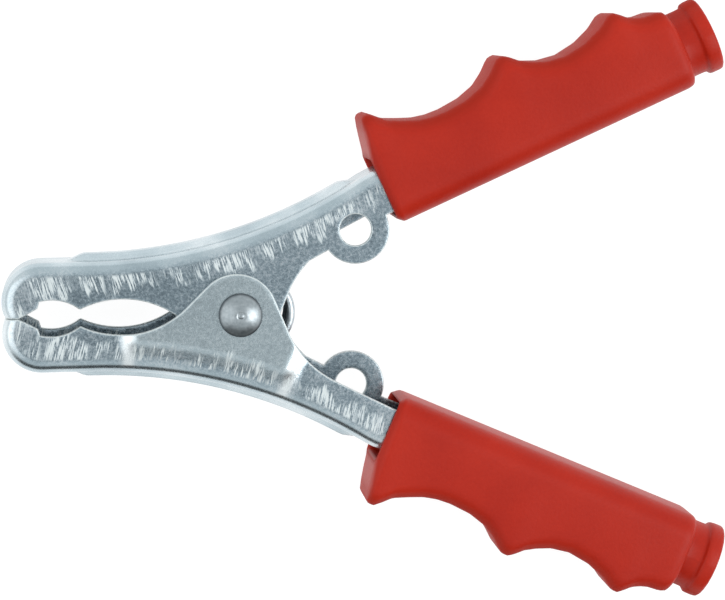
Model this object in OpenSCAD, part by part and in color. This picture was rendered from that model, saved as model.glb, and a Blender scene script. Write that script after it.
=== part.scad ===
// Jump-lead clamp: two pressed steel arms on one rivet, a torsion spring
// between them and a plastic grip on each handle.
// The clamp lies on its side: +X runs from the jaws to the grips, +Z along the
// rivet. The origin is under the middle of the clamp, on the surface it lies on.
// Every outline is drawn for the upper arm about the rivet's axis, jaws closed.
// The lower arm is the same pressing turned half a turn about X.

/* [Steel plate] */
// Thickness of the pressed plate
plate_t = 1.5; // [1.2:0.1:1.6]
// Width across the cheeks at the jaws and the handles
channel_w = 18.8; // [18:0.2:20]
// Outer radius of the bend between the back and a cheek
bend_r = 2.8; // [2.4:0.2:3.2]
// Play between the two plates that slide on each other
plate_play = 0.1; // [0.05:0.05:0.2]

/* [Back line] */
// Height of the closed jaw's back over the middle line
back_h = 12.1; // [11.8:0.1:12.5]
// Where the nose's round ends and the flat back starts
nose_x = -43.5; // [-44:0.5:-43]
// Radius of the nose
nose_r = 8.6; // [8.4:0.1:8.8]
// Where the back starts to curve up
curve_x = -32; // [-33:0.5:-31]
// Radius of the curved back
curve_r = 110; // [108:1:112]
// Straight run from the curve to the knee where the handle starts
knee_run = 1; // [0.5:0.5:3]
// End of the handle, measured from the rivet along the handle
handle_end = 96; // [80:1:100]

/* [Stiffening bead] */
// Height of the bead pressed into the back
bead_h = 1.5; // [1:0.1:1.8]
// Width of the bead at its foot
bead_w = 8.4; // [7:0.2:9]
// Length of its run-out at each end
bead_ramp = 3.5; // [3:0.5:4]
// Where the bead starts behind the nose
bead_x = -38; // [-39:0.5:-37]

/* [Jaws] */
// Gap left between each tooth and the middle line
tooth_gap = 0.05; // [0.05:0.05:0.2]
// Radius of the small recess behind the front tooth
front_r = 10; // [9:0.5:11]
// Depth of the small recess in each jaw
front_depth = 4; // [3.5:0.1:4.2]
// Radius of the large recess that holds a battery post
post_r = 20.5; // [20:0.1:21]
// Depth of the large recess in each jaw
post_depth = 3.9; // [3.7:0.1:4]

/* [Pivot] */
// Diameter of the rivet's shank
rivet_d = 6; // [5:0.2:6.4]
// Play between the shank and its holes, on the radius
rivet_play = 0.05; // [0.03:0.01:0.1]
// Diameter of the rivet's heads
head_d = 9.6; // [9:0.2:11]
// Height of the rivet's heads
head_h = 2.4; // [2:0.1:3]
// Radius of the lobe around the rivet
lobe_r = 9; // [8.8:0.1:9.2]

/* [Cable lug] */
// Lug's place along the clamp, from the rivet
lug_x = 25.7; // [25:0.1:26]
// Lug's height over the middle line
lug_y = 18.1; // [17.8:0.1:18.4]
// Outer radius of the lug
lug_r = 7.5; // [7:0.1:7.8]
// Diameter of the hole for the cable's screw
lug_hole_d = 7; // [6:0.5:8]

/* [Spring] */
// Diameter of the wire
wire_d = 2; // [1.8:0.1:2.1]
// Radius of the coil at the middle of the wire
coil_r = 7.85; // [7.6:0.05:8]
// Whole turns of the coil
coil_turns = 6; // [4:1:6]
// Slope of each leg where it leaves the coil
leg_angle = 50; // [45:1:55]
// Length of each leg up to its bend
leg_l = 15; // [14:0.2:15]
// Length of the foot that lies along the back
foot_l = 5; // [3:0.5:6]

/* [Grips] */
// Width of a grip across its flat sides
grip_w = 23.4; // [23:0.2:26]
// Distance from the rivet to the grip's mouth, along the handle
grip_front = 40.5; // [40:0.5:42]
// Length of the grip's body
grip_l = 73; // [73:0.5:74]
// Corner radius of the body, seen along the handle
grip_corner_r = 5; // [3:0.5:5]
// Height of the grip's straight edge over the line through the rivet
grip_base = 3; // [2.6:0.1:3.2]
// Diameter of the neck
neck_d = 15.4; // [15:0.2:16]
// Diameter of the rim at the end of the neck
rim_d = 17.2; // [17:0.2:18]
// Diameter of the hole that the cable enters by
cable_d = 10; // [8:0.5:11]

/* [Hidden] */
$fn = 96;

half_w = channel_w / 2;
cheek_step = plate_t + plate_play;    // how far the lobed cheek steps outwards
lobe_half = half_w + cheek_step;      // its outer face, from the middle
stack_half = lobe_half + rivet_play;  // the rivet's heads start here
zinc = [0.70, 0.74, 0.76];
steel = [0.55, 0.57, 0.58];
plastic = [0.72, 0.14, 0.10];

// Slope of the handle inside the grip, chosen like curve_angle below
handle_angle = 23.85;

// Points of an arc, from angle a to angle b
function arc(c, r, a, b, n = 16) =
    [for (i = [0:n]) c + r * [cos(a + (b - a) * i / n), sin(a + (b - a) * i / n)]];
// A point given along and across the handle, in the arm's own X and Y
function on_handle(s, n) =
    [s * cos(handle_angle) - n * sin(handle_angle), s * sin(handle_angle) + n * cos(handle_angle)];

// Back line
curve_c = [curve_x, back_h + curve_r];
// Slope where the curve ends. Its sine and cosine are short decimals, so that the flat
// sides of the straight run lie exactly in one plane with those of the curve
curve_angle = atan2(0.5376, 0.8432);
along_end = [cos(curve_angle), sin(curve_angle)];
off_end = [-sin(curve_angle), cos(curve_angle)];
curve_end = curve_c - curve_r * off_end;
knee = curve_end + knee_run * along_end;
bead_stop = 1.5;                      // how far before the end of the curve the bead runs out
nose_c = [nose_x, back_h - nose_r];
section_depth = 32;                   // deeper than any cheek
handle_run = 90;                      // longer than the handle
knee_lap = 15;                        // how far the two straight runs cross at the knee

// Mouth: each circle's lowest side is cut off by the jaw, so its centre is below the edge
front_c = [-41.3, front_depth - front_r];
post_c = [-26, post_depth - post_r];
tooth_x = [-48.3, -44.2, -43.8];      // end of the flat, top of the slope, back of the step
tooth_h = 2.3;
cusp_x = -35.1;
lobe_c = [-0.8, 0];
flank_fall = 43.2;                    // slope of the edge from the mouth down to the lobe
flank_rise = 68;                      // slope of the edge from the lobe up to the handle
throat_r = 22;                        // round between the lobe's flank and the handle's edge
throat_start = 8;                     // straight flank before that round
edge_angle = 27;                      // slope of the handle's edge up to the grip
handle_edge = 6.2;                    // height of that edge inside the grip

throat_a = lobe_c + lobe_r * [sin(flank_rise), -cos(flank_rise)]
    + throat_start * [cos(flank_rise), sin(flank_rise)];
throat_c = throat_a + throat_r * [sin(flank_rise), -cos(flank_rise)];
lug_in = 214;                         // angles where the lug's round leaves the cheek's edge
lug_out = 385;

// Dish: the lobed cheek steps outwards between these lines
dish_jaw = -27;
dish_handle = 13.2;                   // from the rivet, along a line at dish_slant
dish_slant = 14.72;
dish_ramp = 4.5;
dish_rim = 3;                         // width of the slope along the bend
dish_set_in = 0.5;                    // flat left between the bend and that slope
dish_root = 0.5;                      // how far the slopes run on into the plate

// Spring: the coil hangs on the handle side of the rivet, just clear of it
coil_gap = 0.35;
coil_c = [coil_r - wire_d / 2 - rivet_d / 2 - coil_gap, 0];
coil_pitch = wire_d * 1.05;
coil_sweep = 360 * coil_turns + 180 - 2 * leg_angle;
coil_steps = 14;                      // rings in a turn
wire_sides = 10;

// Grip, in lengths along and across the handle
tail_axis = 11.9;
grip_back = grip_front + grip_l;
neck_end = grip_back + 4.4;
rim_end = neck_end + 3.6;
crest = [[44.5, 28.4], [76, 27.2], [102.6, 25.7]];
finger_c = [[60.5, 39.3], [89.7, 36.5]];
finger_r = [18, 15.2];
end_h = 21.3;
cavity = [4.6, 18.2];                 // lowest and highest wall of the handle's pocket
pocket_play = 0.05;

rest_h = stack_half + head_h;         // the rivet's head rests on the surface
// The rim's outermost corner, as the far end of the clamp
reach = on_handle(rim_end, tail_axis - rim_d / 2)[0];
mid_x = (reach + nose_x - nose_r) / 2;

module in_frame() translate([-mid_x, 0, rest_h]) children();
module lower() rotate([180, 0, 0]) children();
module along_handle() rotate([0, 0, handle_angle]) children();

// ---- Outlines of the cheeks ----

function mouth_edge() = concat(
    [[nose_x - nose_r - 2, tooth_gap], [tooth_x[0], tooth_gap], [tooth_x[1], tooth_h]],
    arc(front_c, front_r, acos((tooth_x[2] - front_c[0]) / front_r),
        acos((cusp_x - front_c[0]) / front_r)),
    arc(post_c, post_r, acos((cusp_x - post_c[0]) / post_r), 90 - flank_fall, 24));

function lobe_edge() = arc(lobe_c, lobe_r, 270 - flank_fall, 270 + flank_rise, 36);

function plain_throat() = arc(throat_c, throat_r, 90 + flank_rise, 90 + edge_angle);

function lug_throat() = concat(
    arc(throat_c, throat_r, 90 + flank_rise, 134),
    arc([lug_x, lug_y], lug_r, lug_in, lug_out, 40));

function handle_outline() = [on_handle(handle_end, handle_edge), on_handle(handle_end, 24),
    on_handle(42, 24), [-20, 22], [nose_x - nose_r - 2, 18]];

// Where the cheek's edge meets the straight edge inside the grip
edge_end = throat_c + throat_r * [cos(90 + edge_angle), sin(90 + edge_angle)]
    + 14.5 * [cos(edge_angle), sin(edge_angle)];

module cheek_outline(has_lug)
    polygon(concat(mouth_edge(), lobe_edge(), has_lug ? lug_throat() : plain_throat(),
        [edge_end], handle_outline()));

// ---- The channel, as a solid that is the plate's outer skin (inset 0) or inner skin ----

// Section of the channel from its back, at X 0, to a depth
module section(inset, depth) {
    b = bend_r - inset;
    h = half_w - inset;
    translate([inset, 0]) {
        translate([b, -h]) square([depth - bend_r, 2 * h]);
        translate([0, b - h]) square([b, 2 * (h - b)]);
        for (side = [-1, 1]) translate([b, side * (h - b)]) circle(r = b);
    }
}

// Puts a section's plane across a straight run that starts at a point
module run(start, angle)
    translate(start) rotate([0, 0, angle]) rotate([-90, 0, 0]) rotate([0, 90, 0]) children();

// The curve is swept too far and cut square at its end
module curve_sweep() difference() {
    translate(curve_c) rotate([0, 0, -90]) rotate_extrude(angle = curve_angle + 3, $fn = 360)
        translate([curve_r, 0]) children();
    translate(curve_c) rotate([0, 0, curve_angle]) translate([0, -curve_r - 40, -20])
        cube([20, 60, 40]);
}

// The knee bulges outwards, so it is what the two straight runs have in common
module knee_and_handle() intersection() {
    translate(curve_c) rotate([0, 0, curve_angle]) run([0, -curve_r, 0], 0)
        linear_extrude(handle_run) children();
    run(knee - knee_lap * [cos(handle_angle), sin(handle_angle)], handle_angle)
        linear_extrude(handle_run + knee_lap) children();
}

module nose_sweep() translate(nose_c) rotate([0, 0, 90])
    rotate_extrude(angle = 180) intersection() {
        translate([nose_r, 0]) mirror([1, 0]) children();
        translate([0, -half_w]) square([nose_r, channel_w]);
    }

module channel_skin(inset) {
    nose_sweep() section(inset, nose_r);
    run([nose_x, back_h, 0], 0) linear_extrude(curve_x - nose_x) section(inset, section_depth);
    curve_sweep() section(inset, section_depth);
    knee_and_handle() section(inset, section_depth);
}

// Bead on the back, as a bar with sloping flanks and run-outs
module bead_section(inset)
    polygon([[inset + 0.5, -bead_w / 2 + inset / 2], [inset - bead_h, -bead_w / 4 + inset / 2],
        [inset - bead_h, bead_w / 4 - inset / 2], [inset + 0.5, bead_w / 2 - inset / 2]]);

module bead(inset) intersection() {
    union() {
        run([nose_x, back_h, 0], 0) linear_extrude(curve_x - nose_x) bead_section(inset);
        curve_sweep() bead_section(inset);
    }
    translate([0, 0, -bead_w]) linear_extrude(2 * bead_w)
        polygon([[bead_x, back_h - inset - 1], [bead_x, back_h - inset],
            [bead_x + bead_ramp, back_h - inset + bead_h], [curve_x, back_h + 8],
            curve_end - (bead_ramp + bead_stop) * along_end + (bead_h - inset) * off_end,
            curve_end - bead_stop * along_end - (inset + 0.4) * off_end,
            curve_end - bead_stop * along_end - 8 * off_end, [0, back_h - 6]]);
}

// Dish of the lobed cheek, on the +Z side. Its slopes run on below the flat cheek
module slope(start, length)
    polygon([[start - length * dish_root / cheek_step, half_w - dish_root],
        [start + length, lobe_half], [60, lobe_half], [60, half_w - dish_root]]);

module ramp(start) rotate([90, 0, 0]) linear_extrude(80, center = true) slope(start, dish_ramp);

module dish(inset) translate([0, 0, -inset]) intersection() {
    ramp(dish_jaw);
    rotate([0, 0, dish_slant]) translate([dish_handle + dish_ramp, 0, 0])
        mirror([1, 0, 0]) ramp(0);
    translate(curve_c) rotate([0, 0, 180]) rotate_extrude(angle = 180, $fn = 360)
        translate([curve_r + bend_r + dish_set_in, 0]) slope(0, dish_rim);
}

module skin(inset) {
    channel_skin(inset);
    bead(inset);
    mirror([0, 0, 1]) dish(inset);
}

module arm() difference() {
    intersection() {
        skin(0);
        union() {
            linear_extrude(lobe_half + 1) cheek_outline(true);
            mirror([0, 0, 1]) linear_extrude(lobe_half + 1) cheek_outline(false);
        }
    }
    skin(plate_t);
    cylinder(h = 3 * lobe_half, r = rivet_d / 2 + rivet_play, center = true);
    translate([lug_x, lug_y, 0]) cylinder(h = 2 * lobe_half, d = lug_hole_d);
}

module upper_arm() color(zinc) in_frame() arm();

module lower_arm() color(zinc) in_frame() lower() arm();

// ---- Rivet ----

module head() {
    cap_r = (head_d * head_d / 4 + head_h * head_h) / (2 * head_h);
    translate([0, 0, stack_half]) intersection() {
        cylinder(h = head_h, d = head_d);
        translate([0, 0, head_h - cap_r]) sphere(r = cap_r);
    }
}

module pivot_rivet() color(steel) in_frame() {
    cylinder(h = 2 * stack_half, d = rivet_d, center = true);
    head();
    mirror([0, 0, 1]) head();
}

// ---- Spring: one wire swept along its two legs and its coil ----

function coil_point(a, z) = [coil_c[0] + coil_r * cos(a), coil_r * sin(a), z];
coil_half = coil_pitch * coil_sweep / 720;
leg_start = coil_point(90 + leg_angle, -coil_half);
leg_end = leg_start + leg_l * [cos(leg_angle), sin(leg_angle), 0];
foot_angle = 22;
foot_end = leg_end + foot_l * [cos(foot_angle), sin(foot_angle), 0];
function turned(p) = [p[0], -p[1], -p[2]];

wire_path = concat(
    [foot_end, leg_end],
    [for (i = [0:ceil(coil_sweep / 360 * coil_steps)])
        let (f = i / ceil(coil_sweep / 360 * coil_steps))
        coil_point(90 + leg_angle + f * coil_sweep, -coil_half + 2 * coil_half * f)],
    [turned(leg_end), turned(foot_end)]);

function unit(v) = v / norm(v);
function heading(i) = let (n = len(wire_path) - 1)
    unit(i == 0 ? wire_path[1] - wire_path[0]
        : i == n ? wire_path[n] - wire_path[n - 1]
        : unit(wire_path[i + 1] - wire_path[i]) + unit(wire_path[i] - wire_path[i - 1]));
// Every ring has the coil's axis as one of its two directions
function ring(i) = let (t = heading(i), side = unit(cross(t, [0, 0, 1])), up = cross(side, t))
    [for (k = [0:wire_sides - 1]) let (a = 360 * k / wire_sides)
        wire_path[i] + wire_d / 2 * (side * cos(a) + up * sin(a))];

module torsion_spring() color(steel) in_frame() {
    n = len(wire_path) - 1;
    polyhedron(
        points = [for (i = [0:n]) each ring(i)],
        faces = concat(
            [[for (k = [0:wire_sides - 1]) k]],
            [for (i = [0:n - 1], k = [0:wire_sides - 1]) let (j = (k + 1) % wire_sides)
                [i * wire_sides + k, (i + 1) * wire_sides + k,
                (i + 1) * wire_sides + j, i * wire_sides + j]],
            [[for (k = [wire_sides - 1:-1:0]) n * wire_sides + k]]));
}

// ---- Grips ----

module grip_side() difference() {
    polygon([[grip_front, grip_base + 2], [grip_front + 1.5, grip_base],
        [grip_back - 1, grip_base], [grip_back, grip_base + 1], [grip_back, end_h],
        [grip_back - 5.5, end_h], crest[2] + [2.2, -0.4], crest[2] + [-1.6, 0],
        crest[1] + [1, 0], crest[1] + [-1.2, 0], crest[0] + [1.6, 0], crest[0] + [-1, 0],
        [grip_front + 1, crest[0][1] - 2.4], [grip_front, crest[0][1] - 8]]);
    for (i = [0, 1]) translate(finger_c[i]) circle(r = finger_r[i]);
}

// Rounded bar around the body, seen along the handle
module grip_end() {
    h = crest[0][1] - grip_base;
    for (x = [grip_corner_r, h - grip_corner_r],
        y = [grip_corner_r - grip_w / 2, grip_w / 2 - grip_corner_r])
        translate([x, y]) circle(r = grip_corner_r);
    translate([grip_corner_r, -grip_w / 2]) square([h - 2 * grip_corner_r, grip_w]);
    translate([0, grip_corner_r - grip_w / 2]) square([h, grip_w - 2 * grip_corner_r]);
}

module grip() along_handle() difference() {
    union() {
        intersection() {
            linear_extrude(grip_w, center = true) grip_side();
            run([grip_front - 1, crest[0][1], 0], 0) linear_extrude(grip_l + 2) grip_end();
        }
        run([grip_back - 1, tail_axis, 0], 0) cylinder(h = neck_end - grip_back + 2, d = neck_d);
        run([neck_end, tail_axis, 0], 0) cylinder(h = rim_end - neck_end, d = rim_d);
    }
    pocket_w = channel_w + 2 * pocket_play;
    translate([grip_front - 1, cavity[0], -pocket_w / 2])
        cube([handle_end + 2 - grip_front, cavity[1] - cavity[0], pocket_w]);
    run([handle_end, tail_axis, 0], 0) cylinder(h = rim_end + 1 - handle_end, d = cable_d);
}

module upper_grip() color(plastic) in_frame() grip();

module lower_grip() color(plastic) in_frame() lower() grip();

upper_arm();
lower_arm();
pivot_rivet();
torsion_spring();
upper_grip();
lower_grip();
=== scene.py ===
"""Looks of the jump-lead clamp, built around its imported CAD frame.

Everything is drawn in millimetres about the rivet's axis, jaws closed, for the upper
half. The lower half is the same pressing and moulding turned half a turn about X.
"""

import math
import random

import bmesh
import bpy
import numpy as np
from mathutils import Matrix, Vector
from mathutils.geometry import delaunay_2d_cdt


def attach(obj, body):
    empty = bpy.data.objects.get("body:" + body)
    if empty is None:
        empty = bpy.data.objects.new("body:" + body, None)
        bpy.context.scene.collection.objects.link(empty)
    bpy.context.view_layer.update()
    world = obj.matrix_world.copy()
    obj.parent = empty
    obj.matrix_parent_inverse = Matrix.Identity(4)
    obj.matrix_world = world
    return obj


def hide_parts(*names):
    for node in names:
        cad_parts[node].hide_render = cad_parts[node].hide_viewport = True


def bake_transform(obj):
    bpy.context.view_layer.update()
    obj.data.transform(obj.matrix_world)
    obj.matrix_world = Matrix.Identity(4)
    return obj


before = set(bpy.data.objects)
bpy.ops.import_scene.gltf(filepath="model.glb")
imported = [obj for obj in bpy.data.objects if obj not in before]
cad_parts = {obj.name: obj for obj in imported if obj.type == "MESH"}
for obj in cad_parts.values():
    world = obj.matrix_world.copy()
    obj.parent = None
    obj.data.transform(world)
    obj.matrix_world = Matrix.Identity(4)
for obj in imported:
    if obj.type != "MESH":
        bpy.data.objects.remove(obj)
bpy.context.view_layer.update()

MM = 0.001
MID_X = 28.84522                       # the rivet's place in the frame
REST_H = 13.45

# ---- Driving dimensions of the arm ----

PLATE = 1.5
HALF_W = 9.4
BEND_R = 2.8
EDGE_ROUND = 0.32                      # radius of the plate's cut edges
TOOTH_GAP = 0.06                       # half the gap between the closed teeth

# Back line, from the nose over the long curve and the knee to the handle
BACK_H = 12.1
NOSE_X, NOSE_R = -43.5, 8.6
CURVE_X, CURVE_R = -32.0, 110.0
CURVE_END = math.atan2(0.5376, 0.8432)
KNEE_RUN = 1.0
KNEE_FOLD = (-1.2, 3.6)                # the soft fold's ends along the handle, from the knee
STRAIGHT_FROM = 5.2                    # from the knee on, the handle is straight
HANDLE = math.radians(23.85)
HANDLE_END = 96.0

# Stiffening bead on the back
BEAD_H, BEAD_W = 1.5, 8.4
BEAD_X, BEAD_RAMP = -38.0, 4.5
BEAD_STOP = 0.6                        # the bead ends this far before the knee

# Free edge of the cheeks: tooth, front recess, post recess, lobe, throat, lug and handle
TOOTH_LAND = 0.35
TOOTH_SLOPE = [(-46.2, 1.15), (-44.25, 2.25)]
FRONT_C, FRONT_R = (-41.3, -6.0), 10.0
FRONT_FROM_X, FRONT_TO_X = -43.8, -35.3
POST_C, POST_R = (-26.0, -16.6), 20.5
POST_FROM_X = -34.9
LOBE_C, LOBE_R = (-0.8, 0.0), 9.0
FALL, RISE = 43.2, 68.0                # degrees from the lobe's lowest point to its ends
THROAT_R, THROAT_START = 22.0, 8.0
THROAT_LUG_END = 134.5                 # degrees, as are the lug's two ends below
LUG, LUG_R, LUG_HOLE_R = (25.7, 18.1), 7.5, 3.5
LUG_FROM, LUG_TO = 216, 384
EDGE_SLOPE = 27.0                      # degrees, of the plain cheek's straight stretch
EDGE_RUNS = (2.4, 4.8, 7.2, 9.6, 12.0, 14.2)
HANDLE_EDGE = 6.2                      # the handle's free edge, above the line through the rivet
LUG_HANDLE_S, PLAIN_HANDLE_S = 46.0, 42.0    # where that edge starts on each cheek

# The lobed cheek is pressed out, so that it passes outside the other arm's plain cheek
STEP = 1.6
SHOULDER_RUN = 4.5
JAW_SHOULDER = -27.0
GRIP_SHOULDER = 18.0
SHOULDER_TURN = math.radians(25.0)
RIM_GAP, RIM_RUN = 0.1, 4.3
# The shoulders' painted highlight reaches this far into the flat cheek
SHOULDER_GLINT_DEPTH = 0.6                    # the shoulders' bright mark reaches this far into the flat cheek

# Mesh density
NOSE_ROWS, FLAT_ROWS, CURVE_ROWS, FOLD_ROWS, HANDLE_ROWS = 26, 13, 58, 5, 34
BEND_POINTS = 7
WEB_POINTS = 17
PITCH, ROW_STEP, JITTER = 0.95, 0.866, 0.08
GRID_X, GRID_Y = (-52.0, 100.0), (-12.0, 62.0)
GRID_CLEAR = 0.62                      # of a pitch, between the grid and the outline
HIDDEN_X, HIDDEN_STEP = 40.0, 7        # past here the grip hides the plate: one point in seven
EDGE_PITCH, END_PITCH = 1.1, 2.0

# ---- Driving dimensions of the rivet, the spring and the grips ----

RIVET_R, HEAD_R, HEAD_H = 3.0, 4.8, 2.4
RIVET_SIDES = 72
STACK = 11.05                          # from the middle of the clamp to the head's seat
# Painted shade ring on the rivet heads: the radius where it starts, and its soft run
SHADE_RING_R, SHADE_RING_RUN = 4.3, 0.4

WIRE_R, COIL_R, TURNS = 1.0, 7.85, 6
COIL_C = (COIL_R - WIRE_R - RIVET_R - 0.35, 0.0)
COIL_PITCH = 2.1
LEG_ANGLE, LEG_L = math.radians(50), 15.0
FOOT_ANGLE, FOOT_L = math.radians(22), 5.0
ELBOW = 1.6                            # each side of the soft corner between leg and foot
COIL_STEPS = 44                        # points in one turn
WIRE_END = 0.86                        # the cut ends are a little narrower
WIRE_DRAWN, WIRE_SIDES = 0.99, 14      # drawn a hair thinner than the frame's wire

GRIP_W = 23.4
BASE = 3.0
BACK_ROUND, FINGER_ROUND = 5.6, 4.0
TAIL_AXIS = 11.9                       # the cable's height over the same line
NECK_R, RIM_R, CABLE_R = 7.7, 8.6, 5.0
CORNER_STEPS = 7
# Painted shade on the finger side of the grip: how deep below its top line it starts, and its soft run
SHADED_SIDE_DEPTH, SHADED_SIDE_RUN = 2.6, 1.8         # of the finger side's duller skin

# Finger side of the grip: place along the handle, height over the line through the rivet
TOP_LINE = [(40.2, 17.0), (40.3, 20.5), (40.6, 24.2), (41.5, 26.9), (42.7, 28.1), (43.9, 28.1),
            (45.4, 26.8), (47.2, 25.0), (50.4, 23.5), (53.5, 22.2), (56.6, 21.5), (59.9, 21.3),
            (64.8, 21.7), (69.0, 22.9), (72.0, 24.8), (74.5, 27.0), (76.0, 27.3), (77.3, 26.5),
            (79.2, 24.7), (81.6, 23.3), (84.6, 22.0), (89.0, 21.3), (94.0, 22.0), (98.3, 23.6),
            (100.9, 25.3), (102.3, 25.6), (103.6, 24.6), (105.0, 23.2), (106.8, 22.3),
            (108.4, 21.8), (110.8, 21.6), (112.6, 21.2), (113.6, 20.0)]

# ---- Light and camera ----

FLOOR_GLOW = 0.92                      # the floor is a light table: it shines a little itself
HORIZON, OVERHEAD, FLAG = 0.83, 0.10, 0.02
DIM_SHIFT = (0.06, 0.10)               # added to a direction's X and Y, to centre the dim patch
DIM_FROM, DIM_TO = 0.04, 0.20          # its soft edge, as distances from that centre
FLAG_Y, FLAG_Z = (-0.50, -0.72), (0.64, 0.56)
LAMPS = {"left": ((-0.70, 0.03, 0.76), 0.90, 1.7), "right": ((0.72, -0.08, 0.76), 0.66, 4.4)}

CAMERA_TILT = (5.5, 5.30, 0.79)        # degrees about X, Y and Z
CAMERA_SHIFT = (-27.70, -2.29)         # of the rivet from the view's middle
CAMERA_FAR = 668.0
LENS = 149.0

# ---- Helpers ----


def to_frame(points):
    p = np.asarray(points, float).reshape(-1, 3)
    return (p + (-MID_X, 0.0, REST_H)) * MM


def as_drawn(points):
    return points


def turned(points):
    """Half a turn about X: the upper half's points as the lower half's."""
    return np.asarray(points, float).reshape(-1, 3) * (1, -1, -1)


def smooth(t):
    t = np.clip(t, 0.0, 1.0)
    return t * t * (3 - 2 * t)


def eased(t, ends=0.12):
    """A straight ramp from 0 to 1 with short round ends."""
    t = np.clip(t, 0.0, 1.0)
    low, high = np.minimum(t, ends), np.minimum(1 - t, ends)
    middle = np.clip(t, ends, 1 - ends) - ends
    return (low ** 2 / (2 * ends) + middle + ends / 2 - high ** 2 / (2 * ends)) / (1 - ends)


def arc(c, r, a, b, n):
    """Points on a circle from angle a to angle b, in degrees."""
    t = np.radians(np.linspace(a, b, n))
    return [(c[0] + r * math.cos(q), c[1] + r * math.sin(q)) for q in t]


def passing(c, r, x):
    """The angle in degrees at which the upper half of a circle passes x."""
    return math.degrees(math.acos((x - c[0]) / r))


def on_handle(s, n):
    """The point at s along the handle and n above the line through the rivet."""
    c, k = math.cos(HANDLE), math.sin(HANDLE)
    return (s * c - n * k, s * k + n * c)


def new_object(name, points, faces, attributes=None):
    """A smooth-shaded mesh from points in millimetres, with a value per point for each attribute."""
    mesh = bpy.data.meshes.new(name)
    mesh.from_pydata([tuple(p) for p in to_frame(points)], [], [tuple(f) for f in faces])
    mesh.validate()
    mesh.update()
    for key, values in (attributes or {}).items():
        layer = mesh.attributes.new(key, "FLOAT", "POINT")
        layer.data.foreach_set("value", np.asarray(values, np.float32))
    mesh.polygons.foreach_set("use_smooth", [True] * len(mesh.polygons))
    obj = bpy.data.objects.new(name, mesh)
    bpy.context.scene.collection.objects.link(obj)
    return obj


def face_outwards(obj):
    """Turns every face of a closed mesh outwards."""
    bm = bmesh.new()
    bm.from_mesh(obj.data)
    bmesh.ops.recalc_face_normals(bm, faces=bm.faces)
    bm.to_mesh(obj.data)
    bm.free()
    obj.data.update()


# ---- Back of the arm ----

CURVE_C = (CURVE_X, BACK_H + CURVE_R)
NOSE_C = (NOSE_X, BACK_H - NOSE_R)
curve_end = (CURVE_C[0] + CURVE_R * math.sin(CURVE_END), CURVE_C[1] - CURVE_R * math.cos(CURVE_END))
knee = (curve_end[0] + KNEE_RUN * math.cos(CURVE_END), curve_end[1] + KNEE_RUN * math.sin(CURVE_END))
knee_s = knee[0] * math.cos(HANDLE) + knee[1] * math.sin(HANDLE)
handle_back = -knee[0] * math.sin(HANDLE) + knee[1] * math.cos(HANDLE)
LENGTH_TO_KNEE = CURVE_X - NOSE_X + CURVE_R * CURVE_END


def back_line():
    """Stations along the back: point, outward normal and distance from the nose."""
    out = []

    def add(p, normal, run):
        out.append((np.array(p, float), np.array(normal, float), run))

    nose_turn = 90 + math.degrees(math.asin((NOSE_C[1] - TOOTH_GAP) / NOSE_R))
    for q in np.linspace(nose_turn, 0, NOSE_ROWS):
        a = math.radians(90 + q)
        add((NOSE_C[0] + NOSE_R * math.cos(a), NOSE_C[1] + NOSE_R * math.sin(a)),
            (math.cos(a), math.sin(a)), -NOSE_R * math.radians(q))
    for x in np.linspace(NOSE_X, CURVE_X, FLAT_ROWS)[1:]:
        add((x, BACK_H), (0, 1), x - NOSE_X)
    run = CURVE_X - NOSE_X
    for q in np.linspace(0, CURVE_END, CURVE_ROWS)[1:]:
        add((CURVE_C[0] + CURVE_R * math.sin(q), CURVE_C[1] - CURVE_R * math.cos(q)),
            (-math.sin(q), math.cos(q)), run + CURVE_R * q)
    run += CURVE_R * CURVE_END
    # The knee is a soft fold, so its normals turn over a few millimetres
    fold_from, fold_to = KNEE_FOLD
    for s in np.linspace(fold_from, fold_to, FOLD_ROWS)[2:]:
        turn = float(smooth((s - fold_from) / (fold_to - fold_from)))
        a = CURVE_END + (HANDLE - CURVE_END) * turn
        add(on_handle(knee_s + s, handle_back), (-math.sin(a), math.cos(a)), run + KNEE_RUN + s)
    for s in np.linspace(knee_s + STRAIGHT_FROM, HANDLE_END, HANDLE_ROWS):
        add(on_handle(s, handle_back), (-math.sin(HANDLE), math.cos(HANDLE)),
            run + KNEE_RUN + s - knee_s)
    return out


STATIONS = back_line()
STATION_P = np.array([p for p, _, _ in STATIONS])
STATION_N = np.array([normal for _, normal, _ in STATIONS])


def bead_height(run, z):
    rise = smooth((run - (BEAD_X - NOSE_X)) / BEAD_RAMP)
    fall = smooth((LENGTH_TO_KNEE - BEAD_STOP - run) / BEAD_RAMP)
    across = smooth((BEAD_W / 2 - abs(z)) / (BEAD_W / 4))
    return BEAD_H * float(rise) * float(fall) * float(across)


def strip_row(station):
    """One row of the back, from bend to bend: matching outer and inner points."""
    p, normal, run = station
    flat_z = HALF_W - BEND_R
    out = []

    def add(lift, z, up, across):
        outer = p + normal * lift
        inner = outer - normal * PLATE * up
        out.append(((outer[0], outer[1], z), (inner[0], inner[1], z - PLATE * across)))

    def bend(side, steps):
        for i in steps:
            a = math.pi / 2 * i / BEND_POINTS
            up, across = math.sin(a), side * math.cos(a)
            add(BEND_R * up - BEND_R, side * flat_z + BEND_R * across, up, across)

    bend(-1, range(BEND_POINTS))
    for z in np.linspace(-flat_z, flat_z, WEB_POINTS):
        add(bead_height(run, z), z, 1.0, 0.0)
    bend(1, reversed(range(BEND_POINTS)))
    return out


def level_tip(row):
    """The row at the tooth's tip, brought level with the flat of the tooth."""
    return [((a[0], TOOTH_GAP, a[2]), (b[0], TOOTH_GAP, b[2])) for a, b in row]


# ---- Cheeks of the arm ----

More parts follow.
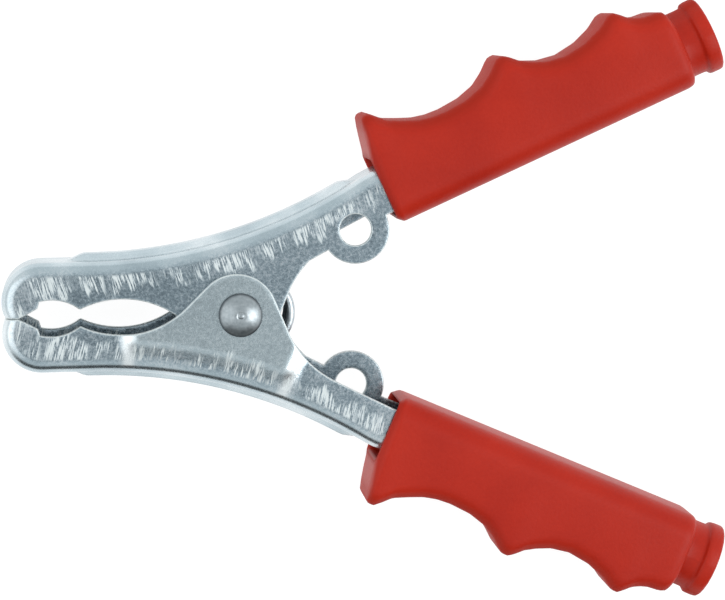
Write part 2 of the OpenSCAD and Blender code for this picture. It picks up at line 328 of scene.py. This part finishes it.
rise = math.radians(RISE)
throat_c = (LOBE_C[0] + (LOBE_R + THROAT_R) * math.sin(rise) + THROAT_START * math.cos(rise),
            LOBE_C[1] - (LOBE_R + THROAT_R) * math.cos(rise) + THROAT_START * math.sin(rise))


def bend_line():
    """Where the flat cheeks start, in the plane of the cheek."""
    return [tuple(p - normal * BEND_R) for p, normal, _ in STATIONS]


def lower_edge(has_lug):
    """The cheek's free edge, from the tooth's tip back to the end of the handle."""
    pts = [(bend_line()[0][0] + TOOTH_LAND, TOOTH_GAP)] + TOOTH_SLOPE
    pts += arc(FRONT_C, FRONT_R, passing(FRONT_C, FRONT_R, FRONT_FROM_X),
               passing(FRONT_C, FRONT_R, FRONT_TO_X), 12)
    pts += arc(POST_C, POST_R, passing(POST_C, POST_R, POST_FROM_X), 90 - FALL, 26)
    pts += arc(LOBE_C, LOBE_R, 270 - FALL, 270 + RISE, 34)
    if has_lug:
        pts += arc(throat_c, THROAT_R, 90 + RISE, THROAT_LUG_END, 12)
        pts += arc(LUG, LUG_R, LUG_FROM, LUG_TO, 34)
        start = LUG_HANDLE_S
    else:
        pts += arc(throat_c, THROAT_R, 90 + RISE, 90 + EDGE_SLOPE, 22)
        a = math.radians(EDGE_SLOPE)
        x, y = pts[-1]
        pts += [(x + d * math.cos(a), y + d * math.sin(a)) for d in EDGE_RUNS]
        start = PLAIN_HANDLE_S
    pts += [on_handle(s, HANDLE_EDGE) for s in np.arange(start, HANDLE_END, 2.2)]
    pts += [on_handle(HANDLE_END, HANDLE_EDGE)]
    return pts


def resample(points, step):
    """Splits long stretches so that no edge is longer than the step."""
    out = [points[0]]
    for a, b in zip(points, points[1:]):
        n = max(1, math.ceil(math.dist(a, b) / step))
        out += [(a[0] + (b[0] - a[0]) * k / n, a[1] + (b[1] - a[1]) * k / n) for k in range(1, n + 1)]
    return out


def inside(x, y, loop):
    """Which of the points lie inside a closed outline."""
    hit = np.zeros(x.shape, bool)
    for (x1, y1), (x2, y2) in zip(loop, loop[1:] + loop[:1]):
        if y1 != y2:
            hit ^= ((y1 > y) != (y2 > y)) & (x < (x2 - x1) * (y - y1) / (y2 - y1) + x1)
    return hit


def uneven_grid(seed):
    """A triangular grid over the whole arm, slightly disturbed."""
    rng = random.Random(seed)
    xs, ys = [], []
    row = 0
    y = GRID_Y[0]
    while y < GRID_Y[1]:
        x = GRID_X[0] + (0.5 * PITCH if row % 2 else 0.0)
        while x < GRID_X[1]:
            xs.append(x + rng.uniform(-JITTER, JITTER) * PITCH)
            ys.append(y + rng.uniform(-JITTER, JITTER) * PITCH)
            x += PITCH
        y += PITCH * ROW_STEP
        row += 1
    return np.array(xs), np.array(ys)


def cheek_mesh(has_lug, seed):
    """One flat cheek: its points, its triangles, and how many of the points lie on the bend."""
    bend = bend_line()
    edge = resample(lower_edge(has_lug), EDGE_PITCH)
    end = resample([edge[-1], bend[-1]], END_PITCH)[1:-1]
    loop = bend + end[::-1] + edge[::-1]
    holes = [arc((0, 0), RIVET_R + 0.05, 0, 360, 41)[:-1]]
    if has_lug:
        holes.append(arc(LUG, LUG_HOLE_R, 0, 360, 45)[:-1])

    def on_plate(x, y):
        out = inside(x, y, loop)
        for hole in holes:
            out &= ~inside(x, y, hole)
        return out

    xs, ys = uneven_grid(seed)
    keep = on_plate(xs, ys) & ((xs < HIDDEN_X) | (np.arange(len(xs)) % HIDDEN_STEP == 0))
    xs, ys = xs[keep], ys[keep]
    border = loop + [p for hole in holes for p in hole]
    near = np.full(len(xs), np.inf)
    for x, y in border:
        near = np.minimum(near, np.hypot(xs - x, ys - y))
    clear = near > GRID_CLEAR * PITCH
    points = border + list(zip(xs[clear], ys[clear]))
    edges = []
    for ring in [loop] + holes:
        start, n = len(edges), len(ring)
        edges += [(start + i, start + (i + 1) % n) for i in range(n)]
    result = delaunay_2d_cdt([Vector(p) for p in points], edges, [], 0, 1e-5)
    verts, faces, origin = result[0], result[2], result[3]
    centre = np.array([[sum(verts[i].x for i in f) / 3, sum(verts[i].y for i in f) / 3] for f in faces])
    source = [olds[0] if olds else None for olds in origin]
    kept = on_plate(centre[:, 0], centre[:, 1])
    triangles = [tuple(source[i] for i in f) for f, good in zip(faces, kept) if good]
    return points, triangles, len(bend)


def shoulders(x, y):
    """The press-out's rise on the jaw side and its fall on the grip side, each from 0 to 1."""
    along = x * math.cos(SHOULDER_TURN) + y * math.sin(SHOULDER_TURN)
    return smooth((x - JAW_SHOULDER) / SHOULDER_RUN), smooth((GRIP_SHOULDER - along) / SHOULDER_RUN)


def dish(x, y):
    """How far the lobed cheek is pressed out, from 0 to 1, with soft shoulders."""
    jaw, grip = shoulders(x, y)
    rim = (np.hypot(x - CURVE_C[0], y - CURVE_C[1]) - CURVE_R - BEND_R - RIM_GAP) / RIM_RUN
    return jaw * grip * eased(rim)


# ---- The whole arm ----


def build_arm():
    """The arm as an open sheet: matching outer and inner points, and faces."""
    rows = [strip_row(s) for s in STATIONS]
    rows[0] = level_tip(rows[0])
    outer = [a for row in rows for a, _ in row]
    inner = [b for row in rows for _, b in row]
    width = len(rows[0])
    faces = [(a, a + 1, a + width + 1, a + width)
             for start in range(0, len(outer) - width, width) for a in range(start, start + width - 1)]
    for side, has_lug, last in ((-1, False, 0), (1, True, width - 1)):
        points, triangles, n_bend = cheek_mesh(has_lug, 5 + side)
        xy = np.array(points)
        press = dish(xy[:, 0], xy[:, 1]) if side < 0 else np.zeros(len(xy))
        index = [k * width + last for k in range(n_bend)]
        for (x, y), height in zip(points[n_bend:], press[n_bend:]):
            z = side * (HALF_W + STEP * height)
            index.append(len(outer))
            outer.append((x, y, z))
            inner.append((x, y, z - side * PLATE))
        faces += [tuple(index[i] for i in t) for t in triangles]
    return np.array(outer), np.array(inner), faces


def nearest_normal(c):
    return STATION_N[np.argmin(np.hypot(STATION_P[:, 0] - c[0], STATION_P[:, 1] - c[1]))]


def wound_outwards(points, faces):
    """Winds every face outwards: cheeks away from the mid-plane, the back away from the cheeks."""
    out = []
    for f in faces:
        p = points[list(f)]
        n = np.cross(p[1] - p[0], p[2] - p[0])
        c = p.mean(axis=0)
        if abs(n[2]) > 0.75 * np.linalg.norm(n):
            flip = n[2] * c[2] < 0
        else:
            flip = n[:2] @ nearest_normal(c) < 0
        out.append(tuple(reversed(f)) if flip else tuple(f))
    return out


def border_edges(faces):
    """The open edges of a sheet, in the direction of their faces."""
    seen = dict.fromkeys(pair for f in faces for pair in zip(f, f[1:] + f[:1]))
    return [(a, b) for a, b in seen if (b, a) not in seen]


def thick_sheet(outer, inner, faces):
    """Closes two matching sheets into a plate with round cut edges: points, faces, 1 at the edges."""
    edges = border_edges(faces)
    after = dict(edges)
    before = {b: a for a, b in edges}
    points = list(outer) + list(inner)
    at_edge = [0.0] * len(points)
    n0 = len(outer)
    turn = [(1 - math.sin(a), 1 - math.cos(a)) for a in np.radians((30, 60, 90))]
    rim = {}
    for v in after:
        o, i = outer[v], inner[v]
        through = (o - i) / np.linalg.norm(o - i)
        into = np.cross(through, outer[after[v]] - outer[before[v]])
        into *= EDGE_ROUND / max(np.linalg.norm(into), 1e-9)
        through *= EDGE_ROUND
        points[v] = o + into
        points[n0 + v] = i + into
        row = [o + into * u - through * w for u, w in turn]
        row += [i + into * u + through * w for u, w in reversed(turn)]
        rim[v] = [v] + list(range(len(points), len(points) + len(row))) + [n0 + v]
        points += row
        at_edge += [1.0] * len(row)
    solid = [tuple(f) for f in faces] + [tuple(n0 + i for i in reversed(f)) for f in faces]
    for a, b in edges:
        for a1, a2, b1, b2 in zip(rim[a], rim[a][1:], rim[b], rim[b][1:]):
            solid.append((b1, a1, a2, b2))
    return np.array(points), solid, at_edge


def below_back(points):
    """Distance of each point from the back line, for the mottle, the cheeks' painted shade and the rub
    marks.
    """
    out = np.full(len(points), np.inf)
    for p in STATION_P:
        out = np.minimum(out, np.hypot(points[:, 0] - p[0], points[:, 1] - p[1]))
    return out


outer, inner, sheet = build_arm()
sheet = wound_outwards(outer, sheet)
arm_points, arm_faces, arm_edge = thick_sheet(outer, inner, sheet)
ramps = np.array(shoulders(arm_points[:, 0], arm_points[:, 1]))
on_lobed_cheek = arm_points[:, 2] < SHOULDER_GLINT_DEPTH - HALF_W
arm_marks = {
    "depth": below_back(arm_points),
    "edge": arm_edge,
    "pressed": smooth((-arm_points[:, 2] - HALF_W) / STEP),
    # Painted highlight on the press-out's shoulders, on the lobed cheek only
    "slope": (4 * ramps * (1 - ramps)).max(axis=0) * on_lobed_cheek,
}
arms = [new_object(name + "_plate", turn(arm_points), arm_faces, arm_marks)
        for name, turn in (("upper_arm", as_drawn), ("lower_arm", turned))]

# ---- Rivet ----


def lathe(profile, sides):
    """Turns (radius, z) points about Z. A radius of zero becomes one point."""
    points, rings, faces = [], [], []
    for r, z in profile:
        count = sides if r > 1e-6 else 1
        rings.append(list(range(len(points), len(points) + count)))
        points += [(r * math.cos(2 * math.pi * k / sides), r * math.sin(2 * math.pi * k / sides), z)
                   for k in range(count)]
    for a, b in zip(rings, rings[1:]):
        for k in range(sides):
            m = (k + 1) % sides
            if len(a) == 1:
                faces.append((a[0], b[m], b[k]))
            elif len(b) == 1:
                faces.append((a[k], a[m], b[0]))
            else:
                faces.append((a[k], a[m], b[m], b[k]))
    return points, faces


def head_profile():
    """One head from the small pip in its middle, over the dome, to its seat on the plate."""
    cap = [(0.0, HEAD_H), (0.25, HEAD_H - 0.01), (0.5, HEAD_H - 0.05), (0.62, HEAD_H - 0.2),
           (0.78, HEAD_H - 0.22), (0.92, HEAD_H - 0.1)]
    dome_h = HEAD_H - 0.55
    dome_r = (HEAD_R ** 2 + dome_h ** 2) / (2 * dome_h)
    for r in np.linspace(1.15, 4.55, 11):
        cap.append((r, HEAD_H - dome_r + math.sqrt(dome_r ** 2 - r ** 2)))
    cap += [(4.72, 0.62), (HEAD_R, 0.42), (4.78, 0.16), (4.6, 0.0), (4.2, 0.0), (RIVET_R + 0.02, 0.0)]
    return cap


head = [(r, STACK + z) for r, z in head_profile()]
shank = [(RIVET_R, STACK - PLATE), (RIVET_R, 0.0), (RIVET_R, PLATE - STACK)]
rivet_points, rivet_faces = lathe(head + shank + [(r, -z) for r, z in reversed(head)], RIVET_SIDES)
# Painted shade, rising from 0 to 1 towards each head's rim
rivet_rim_shade = smooth((np.hypot(*np.array(rivet_points)[:, :2].T) - SHADE_RING_R) / SHADE_RING_RUN)
rivet = new_object("pivot_rivet_turned", rivet_points, rivet_faces, {"rim": rivet_rim_shade})

# ---- Torsion spring ----


def spring_path():
    """The wire's middle line: foot and leg on the upper arm, the coil, and the same turned."""
    sweep = 2 * math.pi * TURNS + math.pi - 2 * LEG_ANGLE
    half = COIL_PITCH * sweep / (4 * math.pi)
    a0 = math.pi / 2 + LEG_ANGLE
    n = COIL_STEPS * TURNS
    coil = [np.array((COIL_C[0] + COIL_R * math.cos(a0 + sweep * k / n),
                      COIL_C[1] + COIL_R * math.sin(a0 + sweep * k / n),
                      -half + 2 * half * k / n)) for k in range(n + 1)]
    leg = np.array((math.cos(LEG_ANGLE), math.sin(LEG_ANGLE), 0.0))
    foot = np.array((math.cos(FOOT_ANGLE), math.sin(FOOT_ANGLE), 0.0))
    leg_end = coil[0] + LEG_L * leg
    path = [leg_end + FOOT_L * foot, leg_end + 3.4 * foot]
    for f in np.linspace(1, 0, 5):
        path.append(leg_end * (2 * f * (1 - f)) + (leg_end - ELBOW * leg) * (1 - f) ** 2
                    + (leg_end + ELBOW * foot) * f ** 2)
    path += [coil[0] + d * leg for d in (11.5, 8.5, 5.5, 2.6, 1.0)]
    return path + coil + [p * (1, -1, -1) for p in reversed(path)]


def sweep_wire(path, radius, sides):
    """A round wire along a path, with slightly narrowed ends."""
    points, faces = [], []
    last = len(path) - 1
    for i, p in enumerate(path):
        d = path[min(i + 1, last)] - path[max(i - 1, 0)]
        d /= np.linalg.norm(d)
        u = np.cross(d, (0, 0, 1))
        u /= np.linalg.norm(u)
        v = np.cross(u, d)
        shrink = WIRE_END if i in (0, last) else 1.0
        for k in range(sides):
            a = 2 * math.pi * k / sides
            points.append(p + radius * shrink * (u * math.cos(a) + v * math.sin(a)))
    for i in range(last):
        a, b = i * sides, (i + 1) * sides
        for k in range(sides):
            m = (k + 1) % sides
            faces.append((a + k, b + k, b + m, a + m))
    faces.append(tuple(range(sides)))
    faces.append(tuple(last * sides + k for k in reversed(range(sides))))
    return points, faces


wire_points, wire_faces = sweep_wire(spring_path(), WIRE_R * WIRE_DRAWN, WIRE_SIDES)
spring = new_object("torsion_spring_wire", wire_points, wire_faces)

# ---- Grips ----


def top_height(s):
    return np.interp(s, *zip(*TOP_LINE))


def rounded_ring(s, low, high, half_w, r_low, r_high=None):
    """A rectangle with round corners, across the handle. r_high is for the finger side's corners."""
    limit = min((high - low) / 2, half_w) - 0.01
    r_low = min(r_low, limit)
    r_high = r_low if r_high is None else min(r_high, limit)
    out = []
    for q, (edge, inward, side, r) in enumerate(((high, -1, 1, r_high), (low, 1, 1, r_low),
                                                 (low, 1, -1, r_low), (high, -1, -1, r_high))):
        for k in range(CORNER_STEPS):
            a = math.pi / 2 * (q + k / (CORNER_STEPS - 1))
            n = edge + inward * r + r * math.cos(a)
            z = side * (half_w - r) + r * math.sin(a)
            out.append((*on_handle(s, n), z))
    return out


def grip_rings():
    """Sections from the mouth's lip along the outside, round the tail's rim and back up the bore."""
    # Lip of the mouth: place along the handle, low, high, half width and corner radius
    lip = [(41.4, 4.9, 18.1, 9.6, 1.2), (40.5, 4.7, 18.3, 9.7, 1.3), (40.15, 4.45, 18.9, 10.1, 1.8),
           (40.5, 4.1, 20.2, 10.7, 2.8), (41.0, 3.6, 23.0, 11.25, 3.8), (41.5, 3.15, 25.6, 11.6, 4.8)]
    rings = [rounded_ring(*section) for section in lip]
    body = [(42.1, 0.0), (42.6, 0.0)] + [(s, 0.0) for s in np.arange(43.2, 112.2, 0.75)]
    body += [(112.4, 0.15), (113.0, 0.5), (113.4, 1.1)]
    for s, pull in body:
        rings.append(rounded_ring(s, BASE + pull, top_height(s) - pull, GRIP_W / 2 - pull,
                                  BACK_ROUND, FINGER_ROUND))
    # Tail: the neck, the rim and the cable bore
    tail = [(113.6, 8.3), (113.8, 7.9), (114.4, NECK_R), (115.5, NECK_R - 0.03), (117.2, NECK_R),
            (117.8, 7.85), (118.0, 8.2), (118.35, 8.5), (119.0, RIM_R), (120.6, RIM_R),
            (121.1, 8.45), (121.35, 8.1), (121.4, 7.4), (121.4, 5.6), (121.2, 5.15),
            (120.6, CABLE_R), (112.0, CABLE_R), (104.0, CABLE_R), (98.6, CABLE_R)]
    for s, r in tail:
        rings.append(rounded_ring(s, TAIL_AXIS - r, TAIL_AXIS + r, r, r))
    # Pocket for the arm's handle
    rings.append(rounded_ring(98.1, TAIL_AXIS - 5.4, TAIL_AXIS + 5.2, 7.5, 3.4))
    rings.append(rounded_ring(98.0, 4.7, 18.1, 9.4, 1.6))
    for s in (92.0, 80.0, 66.0, 54.0, 47.0, 43.0):
        rings.append(rounded_ring(s, 4.62, 18.18, 9.44, 1.25))
    return rings


def build_grip():
    """The rings joined into one closed skin."""
    rings = grip_rings()
    n = len(rings[0])
    faces = []
    for i in range(len(rings)):
        a, b = i * n, (i + 1) % len(rings) * n
        for k in range(n):
            m = (k + 1) % n
            faces.append((a + k, a + m, b + m, b + k))
    return np.array([p for ring in rings for p in ring]), faces


def finger_side(points):
    """From 0 to 1 where a point lies on the side that the fingers hold."""
    c, k = math.cos(HANDLE), math.sin(HANDLE)
    s = points[:, 0] * c + points[:, 1] * k
    n = points[:, 1] * c - points[:, 0] * k
    return smooth((n - top_height(s) + SHADED_SIDE_DEPTH) / SHADED_SIDE_RUN)


grip_points, grip_faces = build_grip()
# Where the finger side's painted shade and duller shine go
grip_marks = {"dull_and_shaded": finger_side(grip_points)}
grips = [new_object(name + "_moulding", turn(grip_points), grip_faces, grip_marks)
         for name, turn in (("upper_grip", as_drawn), ("lower_grip", turned))]

for obj in arms + [rivet, spring] + grips:
    face_outwards(obj)

# ---- Materials ----


class Nodes:
    """Small helper around one material's node tree."""

    def __init__(self, name):
        self.mat = bpy.data.materials.new(name)
        self.mat.use_nodes = True
        self.tree = self.mat.node_tree
        self.bsdf = self.tree.nodes["Principled BSDF"]

    def link(self, source, target):
        self.tree.links.new(source, target)

    def feed(self, key, source):
        """Gives one input of the surface a value or a link."""
        if isinstance(source, (int, float, tuple)):
            self.bsdf.inputs[key].default_value = source
        else:
            self.link(source, self.bsdf.inputs[key])

    def coords(self):
        return self.tree.nodes.new("ShaderNodeTexCoord").outputs["Object"]

    def mark(self, name):
        """A value that the mesh carries at its points."""
        node = self.tree.nodes.new("ShaderNodeAttribute")
        node.attribute_name = name
        return node.outputs["Fac"]

    def math(self, operation, a, b, clamp=False):
        node = self.tree.nodes.new("ShaderNodeMath")
        node.operation = operation
        node.use_clamp = clamp
        for i, value in enumerate((a, b)):
            if isinstance(value, (int, float)):
                node.inputs[i].default_value = value
            else:
                self.link(value, node.inputs[i])
        return node.outputs[0]

    def ramp(self, source, stops):
        node = self.tree.nodes.new("ShaderNodeValToRGB")
        items = node.color_ramp.elements
        while len(items) < len(stops):
            items.new(0.5)
        for item, (pos, value) in zip(items, stops):
            item.position = pos
            item.color = (*value, 1) if isinstance(value, tuple) else (value, value, value, 1)
        self.link(source, node.inputs[0])
        return node.outputs[0]

    def mix(self, factor, a, b, blend="MIX"):
        node = self.tree.nodes.new("ShaderNodeMix")
        node.data_type = "RGBA"
        node.blend_type = blend
        for socket, value in ((node.inputs[0], factor), (node.inputs[6], a), (node.inputs[7], b)):
            if isinstance(value, tuple):
                socket.default_value = (*value, 1)
            else:
                self.link(value, socket)
        return node.outputs[2]

    def noise(self, vector, scale, detail, roughness):
        node = self.tree.nodes.new("ShaderNodeTexNoise")
        for key, value in (("Scale", scale), ("Detail", detail), ("Roughness", roughness)):
            node.inputs[key].default_value = value
        self.link(vector, node.inputs["Vector"])
        return node.outputs["Fac"]

    def stretched(self, vector, angle, sx, sy, sz):
        """The vector turned about Z and then stretched, for streaks along one direction."""
        node = self.tree.nodes.new("ShaderNodeMapping")
        node.vector_type = "TEXTURE"
        node.inputs["Rotation"].default_value = (0, 0, math.radians(angle))
        node.inputs["Scale"].default_value = (1 / sx, 1 / sy, 1 / sz)
        self.link(vector, node.inputs["Vector"])
        return node.outputs["Vector"]

    def bump(self, height, strength, distance):
        node = self.tree.nodes.new("ShaderNodeBump")
        node.inputs["Strength"].default_value = strength
        node.inputs["Distance"].default_value = distance
        self.link(height, node.inputs["Height"])
        self.feed("Normal", node.outputs["Normal"])


def rub_marks(n, coords, depth, angle):
    """White marks across the plate, in uneven groups that start at the bend and end raggedly."""
    fine = n.noise(n.stretched(coords, angle, 3000.0, 230.0, 400.0), 1.0, 3.0, 0.6)
    groups = n.noise(n.stretched(coords, angle, 330.0, 60.0, 60.0), 1.0, 2.0, 0.6)
    reach = n.noise(n.stretched(coords, angle, 420.0, 20.0, 20.0), 1.0, 2.0, 0.6)
    lines = n.ramp(fine, [(0.47, 0.0), (0.56, 1.0)])
    spread = n.ramp(groups, [(0.38, 0.15), (0.50, 1.0)])
    start = n.ramp(n.math("MULTIPLY", depth, 0.1), [(0.27, 0.0), (0.33, 1.0)])
    # They are longest on the jaws, where the clamp rubs most
    place = n.tree.nodes.new("ShaderNodeSeparateXYZ")
    n.link(coords, place.inputs[0])
    jaws = n.math("MULTIPLY", n.math("SUBTRACT", -0.050, place.outputs[0]), 60.0, clamp=True)
    longest = n.math("ADD", n.math("MULTIPLY", reach, 12.0), n.math("MULTIPLY", jaws, 2.2))
    end = n.math("SUBTRACT", n.math("ADD", longest, 0.4), depth)
    band = n.math("MULTIPLY", start, n.math("MULTIPLY", end, 0.9, clamp=True))
    return n.math("MULTIPLY", n.math("MULTIPLY", lines, spread), band, clamp=True)


def zinc(name, streak_angle):
    """Zinc-plated pressed steel: sparkling mottle, cheeks darkened as painted shade, a lighter pressed-out
    part with painted highlights on its shoulders, cut edges lightened as wear and painted highlight, and
    white rub marks by the bends.
    """
    n = Nodes(name)
    coords = n.coords()
    depth = n.mark("depth")
    crystals = n.noise(coords, 3200.0, 2.0, 0.7)
    mottle = n.noise(coords, 1500.0, 4.0, 0.65)
    clouds = n.noise(coords, 70.0, 3.0, 0.5)
    # The flat cheeks are mottled and their colour is darkened as painted shade, the drawn back and the bends
    # are smoother
    flat = n.ramp(n.math("MULTIPLY", depth, 0.1), [(0.15, 0.12), (0.34, 1.0)])
    grain = n.math("ADD", n.math("MULTIPLY", mottle, 0.6), n.math("MULTIPLY", crystals, 0.4))
    grit = n.math("SUBTRACT", grain, 0.5)
    tone = n.math("ADD", n.math("MULTIPLY", grit, flat), n.math("MULTIPLY", clouds, 0.35))
    base = n.ramp(tone, [(0.04, (0.32, 0.39, 0.43)), (0.17, (0.53, 0.62, 0.66)),
                         (0.29, (0.84, 0.89, 0.91))])
    base = n.mix(flat, base, (0.60, 0.63, 0.66), "MULTIPLY")
    # The pushed-out part is drawn lighter, and its shoulders carry a painted highlight
    base = n.mix(n.math("MULTIPLY", n.mark("pressed"), 0.50), base, (0.62, 0.70, 0.72))
    base = n.mix(n.math("MULTIPLY", n.mark("slope"), 0.85), base, (0.96, 0.98, 0.98))
    marks = rub_marks(n, coords, depth, streak_angle)
    # Cut edges lightened: partly wear, partly a painted highlight along them
    edge_wear_and_glint = n.math("MULTIPLY", n.mark("edge"), n.ramp(mottle, [(0.30, 0.5), (0.55, 1.0)]))
    bright = n.math("MAXIMUM", marks, edge_wear_and_glint)
    n.feed("Base Color", n.mix(bright, base, (0.70, 0.75, 0.75)))
    n.feed("Metallic", n.math("SUBTRACT", 0.94, n.math("MULTIPLY", bright, 0.80)))
    rough = n.math("ADD", n.math("MULTIPLY", mottle, 0.14), 0.19)
    n.feed("Roughness", n.math("ADD", rough, n.math("MULTIPLY", bright, 0.25)))
    relief = n.math("MULTIPLY", grit, flat)
    n.bump(n.math("SUBTRACT", relief, n.math("MULTIPLY", marks, 0.25)), 0.4, 0.00010)
    return n.mat


def polished(name):
    """Rivet steel, tumbled smooth, with a few fine scratches."""
    n = Nodes(name)
    coords = n.coords()
    fine = n.noise(coords, 1500.0, 4.0, 0.6)
    scratch = n.noise(n.stretched(coords, 35, 2600.0, 120.0, 200.0), 1.0, 2.0, 0.5)
    colour = n.ramp(fine, [(0.3, (0.30, 0.34, 0.36)), (0.7, (0.44, 0.48, 0.50))])
    # Painted shade: the head darkens towards its rim, where it meets the plate
    n.feed("Base Color", n.mix(n.math("MULTIPLY", n.mark("rim"), 0.85), colour, (0.05, 0.06, 0.07)))
    n.feed("Metallic", 0.95)
    n.feed("Roughness", n.math("ADD", n.math("MULTIPLY", scratch, 0.22), 0.24))
    n.bump(n.math("ADD", fine, scratch), 0.2, 0.00006)
    return n.mat


def wire(name):
    """Plated spring wire with faint drawing marks."""
    n = Nodes(name)
    marks = n.noise(n.stretched(n.coords(), 0, 900.0, 900.0, 2400.0), 1.0, 3.0, 0.6)
    n.feed("Base Color", n.ramp(marks, [(0.35, (0.42, 0.47, 0.50)), (0.65, (0.66, 0.71, 0.74))]))
    n.feed("Metallic", 0.9)
    n.feed("Roughness", n.math("ADD", n.math("MULTIPLY", marks, 0.3), 0.18))
    n.bump(marks, 0.2, 0.00008)
    return n.mat


def plastic(name):
    """Red moulded plastic with a fine spark-eroded texture."""
    n = Nodes(name)
    coords = n.coords()
    skin = n.noise(coords, 1400.0, 4.0, 0.6)
    clouds = n.noise(coords, 60.0, 3.0, 0.5)
    colour = n.ramp(n.math("ADD", n.math("MULTIPLY", clouds, 0.7), n.math("MULTIPLY", skin, 0.3)),
                    [(0.3, (0.38, 0.012, 0.003)), (0.7, (0.48, 0.020, 0.006))])
    # Painted shade: the side that the fingers hold is darkened in colour, and it hardly shines
    dull_and_shaded = n.mark("dull_and_shaded")
    n.feed("Base Color", n.mix(n.math("MULTIPLY", dull_and_shaded, 0.6), colour, (0.37, 0.030, 0.018)))
    n.feed("Specular IOR Level", n.math("MULTIPLY", n.math("SUBTRACT", 1.1, dull_and_shaded), 0.20))
    n.feed("Roughness", n.math("ADD", n.math("MULTIPLY", skin, 0.16), 0.36))
    n.bump(skin, 0.3, 0.00015)
    return n.mat


red = plastic("grip_red")
for obj, material in ((arms[0], zinc("zinc_upper", 17.0)), (arms[1], zinc("zinc_lower", -14.0)),
                      (rivet, polished("rivet_polished")), (spring, wire("spring_plated")),
                      (grips[0], red), (grips[1], red)):
    obj.data.materials.append(material)

# ---- Frame links ----

for obj, node, body in ((arms[0], "upper_arm", "upper_half"), (arms[1], "lower_arm", "lower_half"),
                        (grips[0], "upper_grip", "upper_half"), (grips[1], "lower_grip", "lower_half"),
                        (rivet, "pivot_rivet", "lower_half")):
    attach(obj, body)
    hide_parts(node)
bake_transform(spring)
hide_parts("torsion_spring")

# ---- Floor, lights and camera ----


def floor():
    size = 3.0
    mesh = bpy.data.meshes.new("floor")
    mesh.from_pydata([(-size, -size, 0), (size, -size, 0), (size, size, 0), (-size, size, 0)], [],
                     [(0, 1, 2, 3)])
    obj = bpy.data.objects.new("floor", mesh)
    bpy.context.scene.collection.objects.link(obj)
    n = Nodes("floor_pale")
    n.feed("Base Color", (0.20, 0.20, 0.20, 1))
    n.feed("Roughness", 0.9)
    n.feed("Specular IOR Level", 0.1)
    n.feed("Emission Color", (1, 1, 1, 1))
    n.feed("Emission Strength", FLOOR_GLOW)
    mesh.materials.append(n.mat)


def area_light(name, place, size, power):
    """A square lamp that looks at the origin."""
    light = bpy.data.lights.new(name, "AREA")
    light.energy = power
    light.size = size
    obj = bpy.data.objects.new(name, light)
    obj.location = place
    obj.rotation_euler = (-Vector(place)).to_track_quat("-Z", "Y").to_euler()
    bpy.context.scene.collection.objects.link(obj)


def world_light():
    """A pale tent: bright all round, dim overhead, and dark low beyond the lower arm."""
    world = bpy.data.worlds.new("studio")
    world.use_nodes = True
    tree = world.node_tree
    way = tree.nodes.new("ShaderNodeTexCoord").outputs["Generated"]
    split = tree.nodes.new("ShaderNodeSeparateXYZ")
    tree.links.new(way, split.inputs[0])

    def math_node(operation, a, b):
        node = tree.nodes.new("ShaderNodeMath")
        node.operation = operation
        for socket, value in ((node.inputs[0], a), (node.inputs[1], b)):
            if isinstance(value, (int, float)):
                socket.default_value = value
            else:
                tree.links.new(value, socket)
        return node.outputs[0]

    def span(source, low, high, out_low, out_high):
        node = tree.nodes.new("ShaderNodeMapRange")
        node.interpolation_type = "SMOOTHSTEP"
        tree.links.new(source, node.inputs["Value"])
        for key, value in (("From Min", low), ("From Max", high), ("To Min", out_low), ("To Max", out_high)):
            node.inputs[key].default_value = value
        return node.outputs["Result"]

    # The dim patch overhead is a little off the zenith, so the cheeks brighten towards the handles
    dx = math_node("ADD", split.outputs["X"], DIM_SHIFT[0])
    dy = math_node("ADD", split.outputs["Y"], DIM_SHIFT[1])
    squares = math_node("ADD", math_node("MULTIPLY", dx, dx), math_node("MULTIPLY", dy, dy))
    tent = span(math_node("POWER", squares, 0.5), DIM_FROM, DIM_TO, OVERHEAD, HORIZON)
    beyond = span(split.outputs["Y"], *FLAG_Y, 0.0, 1.0)
    low = span(split.outputs["Z"], *FLAG_Z, 0.0, 1.0)
    dark = math_node("MULTIPLY", math_node("MULTIPLY", beyond, low), 1.0 - FLAG)
    background = tree.nodes["Background"]
    background.inputs[0].default_value = (0.93, 0.98, 1.0, 1)
    tree.links.new(math_node("MULTIPLY", tent, math_node("SUBTRACT", 1.0, dark)), background.inputs[1])
    bpy.context.scene.world = world


def camera():
    data = bpy.data.cameras.new("camera")
    data.lens = LENS
    data.sensor_width = 36.0
    data.clip_start = 0.01
    obj = bpy.data.objects.new("camera", data)
    rx, ry, rz = (math.radians(a) for a in CAMERA_TILT)
    turn = Matrix.Rotation(rx, 3, "X") @ Matrix.Rotation(ry, 3, "Y") @ Matrix.Rotation(rz, 3, "Z")
    back = turn.transposed()
    place = -(back @ Vector((CAMERA_SHIFT[0], CAMERA_SHIFT[1], -CAMERA_FAR)))
    obj.matrix_world = Matrix.Translation(Vector(to_frame([place])[0])) @ back.to_4x4()
    bpy.context.scene.collection.objects.link(obj)
    bpy.context.scene.camera = obj


floor()
for name, (place, size, power) in LAMPS.items():
    area_light(name, place, size, power)
world_light()
camera()
bpy.context.scene.view_settings.view_transform = "Standard"
